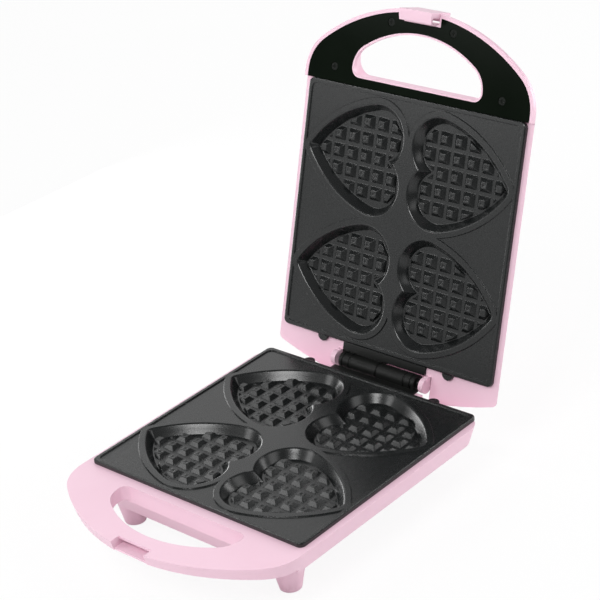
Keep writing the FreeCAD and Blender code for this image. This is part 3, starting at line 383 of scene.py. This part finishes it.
zinc = metal("zinc_steel", (0.34, 0.34, 0.35), (0.46, 0.46, 0.47), dullness=0.26)
black_screw = moulded("black_screw", (0.006, 0.008, 0.006), (0.012, 0.014, 0.012),
                      dullness=0.45, texture=0.2, shine=0.12)
eased_copy("lower_hinge_screws", "lower_leaf_screws", "base", zinc, width=0.3 * MM)
eased_copy("upper_hinge_screws", "upper_leaf_screws", "lid", zinc, width=0.3 * MM)
cover_screws = merged_copy("handle_cover_screws", "cover_screws")
for bar_size in ((recess_length, recess_width, recess_height), (recess_width, recess_length, recess_height)):
    bars = []
    for x, y in cover_screw_places:
        bars.append(block(bar_size, lid_plane @ Matrix.Translation(Vector((x, y, recess_level)) * MM)))
    combine(cover_screws, joined(bars), "DIFFERENCE", "driver_recess")
bpy.ops.object.shade_smooth_by_angle(angle=math.radians(40))
settle(cover_screws, "lid", black_screw, "handle_cover_screws")

# Latch: a pink hook moulded in ABS, on a steel pin at the front of the lid's handle.
# It swings on the pin and hooks over the catch on the base.
eased_copy("latch", "latch_hook", "latch", pink, width=0.8 * MM)

# Indicator lenses: two mouldings in coloured acrylic, one red and one green.
# They are pushed through the lid's top from inside.
red_lens = moulded("red_lens", (0.50, 0.02, 0.02), (0.62, 0.05, 0.04), dullness=0.08, texture=0.02)
green_lens = moulded("green_lens", (0.05, 0.42, 0.09), (0.08, 0.55, 0.12), dullness=0.08, texture=0.02)
eased_copy("power_light_lens", "power_lens", "lid", red_lens, width=0.4 * MM)
eased_copy("ready_light_lens", "ready_lens", "lid", green_lens, width=0.4 * MM)

# Inner pieces: elements, clamps, shields, controls, the terminal block, the board and the latch's pin.
# They are steel, ceramic and plastic, screwed, clamped or pressed in, mostly out of sight in the housings.
# They keep the shapes of their solids and take only a finish.
heat_tinted = metal("heat_tinted_steel", (0.22, 0.20, 0.19), (0.34, 0.32, 0.30), dullness=0.34)
sheet_steel = metal("aluminised_sheet", (0.55, 0.55, 0.55), (0.66, 0.66, 0.67), dullness=0.30,
                    line_scale=(1, 14, 1))
can_metal = metal("thermostat_can", (0.60, 0.60, 0.60), (0.72, 0.72, 0.72), dullness=0.28)
sleeve = moulded("fuse_sleeve", (0.70, 0.68, 0.60), (0.84, 0.82, 0.75), dullness=0.6, texture=0.5)
ceramic = moulded("white_ceramic", (0.80, 0.79, 0.76), (0.88, 0.87, 0.84), dullness=0.25, texture=0.08)
board = moulded("circuit_board", (0.06, 0.20, 0.09), (0.11, 0.30, 0.14), dullness=0.35, texture=0.1)
paired = {"heating_element": heat_tinted, "element_clamps": zinc, "heat_shield": sheet_steel,
          "shield_screws": zinc, "thermostat": can_metal, "thermal_fuse": sleeve}
inner = {side + "_" + kind: finish for side in ("lower", "upper") for kind, finish in paired.items()}
inner.update(terminal_block=ceramic, indicator_board=board, latch_pin=zinc)
for node, finish in inner.items():
    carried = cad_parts[node]
    carried.data.materials.clear()
    carried.data.materials.append(finish)

# Floor: a wide white sheet that mixes plain paint, which takes the shadow, with a white glow.
# Only the camera sees the glow, so it lights nothing.
floor_size = 8
glow_share = 0.9
floor_white = (0.9, 0.9, 0.9, 1)
floor_material, floor_paint, floor_wire = new_finish("white_floor", Roughness=0.9, Base_Color=floor_white)
floor_tree = floor_material.node_tree
seen = floor_wire.node("ShaderNodeLightPath", output="Is Camera Ray")
glow = floor_wire.node("ShaderNodeEmission", {}, {"Color": (1, 1, 1, 1), "Strength": 1.0})
paint = Wire(floor_tree, floor_paint.outputs[0])
both = floor_wire.node("ShaderNodeMixShader", {}, {0: seen * glow_share, 1: paint, 2: glow})
floor_tree.links.new(both.socket, floor_tree.nodes["Material Output"].inputs["Surface"])
bpy.ops.object.select_all(action="DESELECT")
bpy.ops.mesh.primitive_plane_add(size=floor_size, location=(0, 0, 0))
floor = bpy.context.object
floor.name = "floor"
floor.data.materials.append(floor_material)

# Surround: a room that is white to the camera, dim to the part and dimmer still in its reflections.
room_light = 0.25
camera_extra = 0.75
gloss_cut = 0.11
world = bpy.data.worlds.new("studio")
bpy.context.scene.world = world
bpy.context.scene.view_settings.view_transform = "Standard"
world.use_nodes = True
sky = Wire(world.node_tree)
background = world.node_tree.nodes["Background"]
background.inputs["Color"].default_value = (1, 1, 1, 1)
by_camera = sky.node("ShaderNodeLightPath", output="Is Camera Ray")
by_gloss = sky.node("ShaderNodeLightPath", output="Is Glossy Ray")
strength = by_camera * camera_extra - by_gloss * gloss_cut + room_light
world.node_tree.links.new(strength.socket, background.inputs["Strength"])

# Lamps: soft square panels round the part, with places in metres and power in watts.
# The two edge lamps are small, for the bright lines along the plates' rims.


def soft_lamp(name, place, target, size, power):
    lamp = bpy.data.lights.new(name, "AREA")
    lamp.size = size
    lamp.energy = power
    holder = bpy.data.objects.new(name, lamp)
    bpy.context.scene.collection.objects.link(holder)
    holder.location = place
    holder.rotation_euler = (Vector(target) - Vector(place)).to_track_quat("-Z", "Y").to_euler()


soft_lamp("key_lamp", place=(1.3, 0.2, 0.9), target=(0, 0, 0.1), size=0.8, power=4.2)
soft_lamp("top_lamp", place=(0.5, 0.3, 1.6), target=(0, 0, 0.1), size=1.2, power=0.6)
soft_lamp("side_panel", place=(0.8, 1.5, 0.5), target=(0.1, 0.1, 0.2), size=1.0, power=15)
soft_lamp("front_panel", place=(-0.95, -1.15, 0.45), target=(0, 0.1, 0.2), size=1.5, power=3.8)
soft_lamp("front_box", place=(-0.85, -0.95, 0.75), target=(0, 0, 0.1), size=0.5, power=3)
soft_lamp("front_top", place=(0.3, -1.2, 1.4), target=(0, 0, 0.15), size=0.6, power=15.5)
soft_lamp("edge_left", place=(-0.88, -0.24, 1.25), target=(0, 0, 0.05), size=0.18, power=1.6)
soft_lamp("edge_rear", place=(0.27, 0.97, 1.28), target=(0, 0, 0.05), size=0.18, power=1.5)
soft_lamp("left_card", place=(-0.60, 0.15, 0.03), target=(0, 0.13, 0.2), size=0.4, power=3.0)
soft_lamp("rear_panel", place=(-0.95, 1.0, 0.75), target=(0, 0, 0.05), size=1.2, power=4.4)

# Camera: the photograph's own view, from a perspective fit of both plates.
# It stands in front of the part, to the right and above, and is rolled a little.
azimuth, elevation, roll = 0.76006, 0.470816, -0.10615
eye = Vector((869.07, -904.642, 792.64)) * MM
level_run = math.cos(elevation)
away = Vector((math.sin(azimuth) * level_run, -math.cos(azimuth) * level_run, math.sin(elevation)))
level = (-away).cross(Vector((0, 0, 1))).normalized()
upright = level.cross(-away)
right = math.cos(roll) * level + math.sin(roll) * upright
up = -math.sin(roll) * level + math.cos(roll) * upright
lens = bpy.data.cameras.new("camera")
lens.sensor_width = 36
lens.lens = 117.2
camera = bpy.data.objects.new("camera", lens)
bpy.context.scene.collection.objects.link(camera)
turn = Matrix((right, up, away)).transposed().to_4x4()
camera.matrix_world = Matrix.Translation(eye) @ turn
bpy.context.scene.camera = camera
